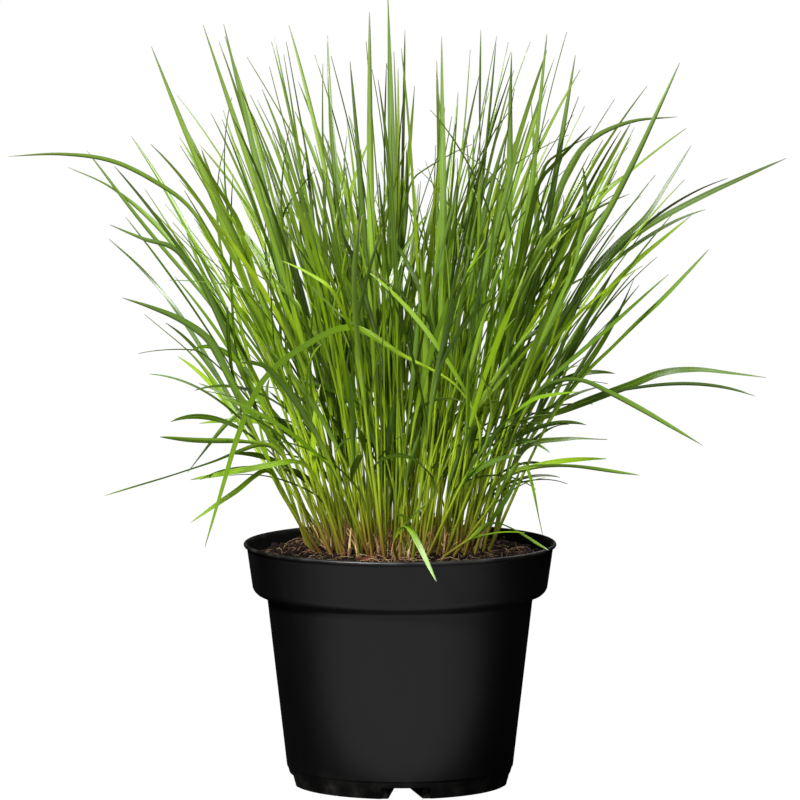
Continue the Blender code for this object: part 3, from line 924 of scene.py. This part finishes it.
def make_litter(surface):
    """Fine roots and bits of straw that lie on the soil, a few of them lifting off it."""
    rng = np.random.default_rng(31)
    foliage = Foliage()
    stations = np.linspace(0, 1, LITTER_STATIONS)
    face_up = np.tile((0.3, 0.2, 1.0), (LITTER_STATIONS, 1))
    for _ in range(LITTER_PIECES):
        radius, azimuth = 0.102 * rng.uniform(0.3, 1.0) ** 0.8, rng.uniform(0, math.tau)
        start = np.array((radius * math.cos(azimuth), radius * math.sin(azimuth)))
        heading = rng.uniform(0, math.tau) + rng.normal(0, 1.4) * stations
        length = rng.uniform(5, 34) * MM
        flat = np.column_stack((np.cos(heading), np.sin(heading)))
        steps = np.vstack(((0, 0), np.cumsum(flat[1:], axis=0)))
        line = start + steps * length / (LITTER_STATIONS - 1)
        reach = np.linalg.norm(line, axis=1)
        if reach.max() > SOIL_EDGE_R - 0.006:
            continue
        arch = rng.uniform(0, 0.005) * np.sin(math.pi * stations) * (rng.random() < 0.4)
        heights = [soil_base(r) + rough_soil(x, y) for r, (x, y) in zip(reach, line)]
        path = np.column_stack((line, np.array(heights) + 0.0006 + arch))
        width = rng.uniform(0.18, 0.55) * MM * (1.0 - 0.5 * stations)
        foliage.add(
            path, face_up, width, np.full(LITTER_STATIONS, PAPER_THICKNESS),
            np.zeros(LITTER_STATIONS), np.full(LITTER_STATIONS, 0.5), rng.random(),
            np.ones(LITTER_STATIONS),
        )
    show(foliage.piece("litter"), surface)


def make_sheaths(surface):
    """Withered sheaths that wrap the feet of the stems or have come away from them."""
    rng = np.random.default_rng(47)
    foliage = Foliage()
    stations = np.linspace(0.0, 1.0, SHEATH_STATIONS)
    for _ in range(SHEATHS):
        radius, azimuth = CLUMP_RADIUS * rng.uniform(0.1, 1.06) ** 0.5, rng.uniform(0, math.tau)
        heading = azimuth + rng.normal(0, 0.7)
        lean = math.radians(rng.uniform(2, 26)) + math.radians(rng.uniform(-5, 55)) * stations**2
        base = np.array((radius * math.cos(azimuth), radius * math.sin(azimuth), soil_height(radius)))
        directions = headings(np.full(SHEATH_STATIONS, heading), lean)
        path = walk(base, directions, rng.uniform(5, 27) * MM)
        side = np.array((-math.sin(heading), math.cos(heading), 0.0))
        width = rng.uniform(0.7, 2.8) * MM * (1 - 0.75 * stations**2.2)
        foliage.add(
            path, turned_side(path, side, rng.normal(0, 0.8) * stations), width,
            np.full(SHEATH_STATIONS, PAPER_THICKNESS), np.full(SHEATH_STATIONS, 0.8),
            np.zeros(SHEATH_STATIONS), rng.random(), np.ones(SHEATH_STATIONS),
        )
    show(foliage.piece("dead_sheaths"), surface)


# ---------------------------------------------------------------- studio

VIEW_DISTANCE = 5.0
VIEW_ELEVATION = math.radians(6.1)
AIM_HEIGHT = 0.2834
LENS = 306.8


def make_camera():
    data = bpy.data.cameras.new("camera")
    data.sensor_width = 36.0
    data.lens = LENS
    data.clip_start, data.clip_end = 0.1, 200.0
    camera = bpy.data.objects.new("camera", data)
    bpy.context.scene.collection.objects.link(camera)
    back = Vector((0.0, -math.cos(VIEW_ELEVATION), math.sin(VIEW_ELEVATION)))
    camera.location = Vector((0.0, 0.0, AIM_HEIGHT)) + back * VIEW_DISTANCE
    camera.rotation_euler = (-back).to_track_quat("-Z", "Y").to_euler()
    bpy.context.scene.camera = camera


def softbox(name, place, aim, size, power):
    data = bpy.data.lights.new(name, "AREA")
    data.shape = "RECTANGLE"
    data.size, data.size_y = size
    data.energy = power
    light = bpy.data.objects.new(name, data)
    bpy.context.scene.collection.objects.link(light)
    light.location = place
    light.rotation_euler = (Vector(aim) - Vector(place)).to_track_quat("-Z", "Y").to_euler()


def make_world(seen, above, below, mirrored):
    """A plain white surround, dimmer underneath, that mirrors as dark, like black cards."""
    world = bpy.data.worlds.new("studio")
    bpy.context.scene.world = world
    world.use_nodes = True
    tree = world.node_tree
    background = tree.nodes["Background"]
    background.inputs["Color"].default_value = (1.0, 1.0, 1.0, 1.0)
    path = tree.nodes.new("ShaderNodeLightPath")
    where = tree.nodes.new("ShaderNodeTexCoord")
    parts = tree.nodes.new("ShaderNodeSeparateXYZ")
    rise = tree.nodes.new("ShaderNodeMapRange")
    tree.links.new(where.outputs["Generated"], parts.inputs[0])
    tree.links.new(parts.outputs["Z"], rise.inputs[0])
    for socket, value in zip(rise.inputs[1:5], (-0.5, 0.5, below, above)):
        socket.default_value = value
    first = tree.nodes.new("ShaderNodeMix")
    second = tree.nodes.new("ShaderNodeMix")
    tree.links.new(path.outputs["Is Glossy Ray"], first.inputs[0])
    tree.links.new(rise.outputs[0], first.inputs[2])
    first.inputs[3].default_value = mirrored
    tree.links.new(path.outputs["Is Camera Ray"], second.inputs[0])
    tree.links.new(first.outputs[0], second.inputs[2])
    second.inputs[3].default_value = seen
    tree.links.new(second.outputs[0], background.inputs["Strength"])


def make_floor():
    mesh = bpy.data.meshes.new("floor")
    half = 40.0
    corners = [(-half, -half, 0), (half, -half, 0), (half, half, 0), (-half, half, 0)]
    mesh.from_pydata(corners, [], [(0, 1, 2, 3)])
    floor = bpy.data.objects.new("floor", mesh)
    bpy.context.scene.collection.objects.link(floor)
    floor.location.z = -0.0005
    paint = Paint("pale_floor")
    floor.data.materials.append(paint.finish(Base_Color=(0.01, 0.01, 0.01, 1.0), Roughness=0.9))
    paint.shader.inputs["Specular IOR Level"].default_value = 0.0
    paint.shader.inputs["Emission Color"].default_value = (1.0, 1.0, 1.0, 1.0)
    paint.shader.inputs["Emission Strength"].default_value = 1.0
    floor.visible_glossy = False
    floor.visible_diffuse = False


def make_studio():
    make_world(seen=1.0, above=0.34, below=0.08, mirrored=0.0)
    softbox("key", (-1.5, -2.3, 2.4), (0, 0, 0.3), (0.7, 0.7), 325)
    softbox("bounce", (0.0, -0.36, 0.002), (0, -0.36, 1.0), (0.7, 0.52), 0.70)
    softbox("fill", (1.6, -2.8, 1.5), (0, 0, 0.3), (0.9, 0.9), 36)
    softbox("top", (0.4, -0.5, 3.0), (0, 0, 0.3), (1.2, 1.2), 40)
    softbox("back", (1.0, 1.7, 2.7), (0, 0, 0.3), (1.2, 1.2), 50)
    make_floor()

    view = bpy.context.scene.view_settings
    view.view_transform = "Standard"
    view.look = "None"


# ---------------------------------------------------------------- the whole object


def make_plant():
    grass = live_grass("grass_blade", tint(142, 172, 8))
    inner = [
        live_grass("grass_inner", tint(136, 170, 6)),
        live_grass("grass_inner_warm", tint(150, 172, 20)),
    ]
    for seed, side in enumerate(("left", "back", "right", "front", "tall"), 3):
        nodes = sorted(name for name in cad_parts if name.startswith(f"shoot_{side}_"))
        outer_shoots(side, nodes, seed, grass)
    inner_shoots(inner)


def make_ground():
    peat = soil_paint("peat", tint(8, 2, 1), tint(22, 8, 4), tint(58, 30, 18))
    bark = soil_paint("bark", tint(46, 20, 12), tint(92, 48, 30), tint(140, 92, 62))
    straw = dead_grass()
    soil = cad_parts["soil"]
    soil.data.materials.clear()
    soil.data.materials.append(peat)
    make_soil_surface(peat)
    make_lumps("soil_crumbs", np.random.default_rng(21), 1700, 0.0006, 0.0034, 0.9, peat)
    make_lumps("bark_bits", np.random.default_rng(23), 110, 0.0018, 0.0060, 0.35, bark, 2)
    make_litter(straw)
    make_sheaths(straw)


make_camera()
make_studio()
make_pot()
make_ground()
make_plant()
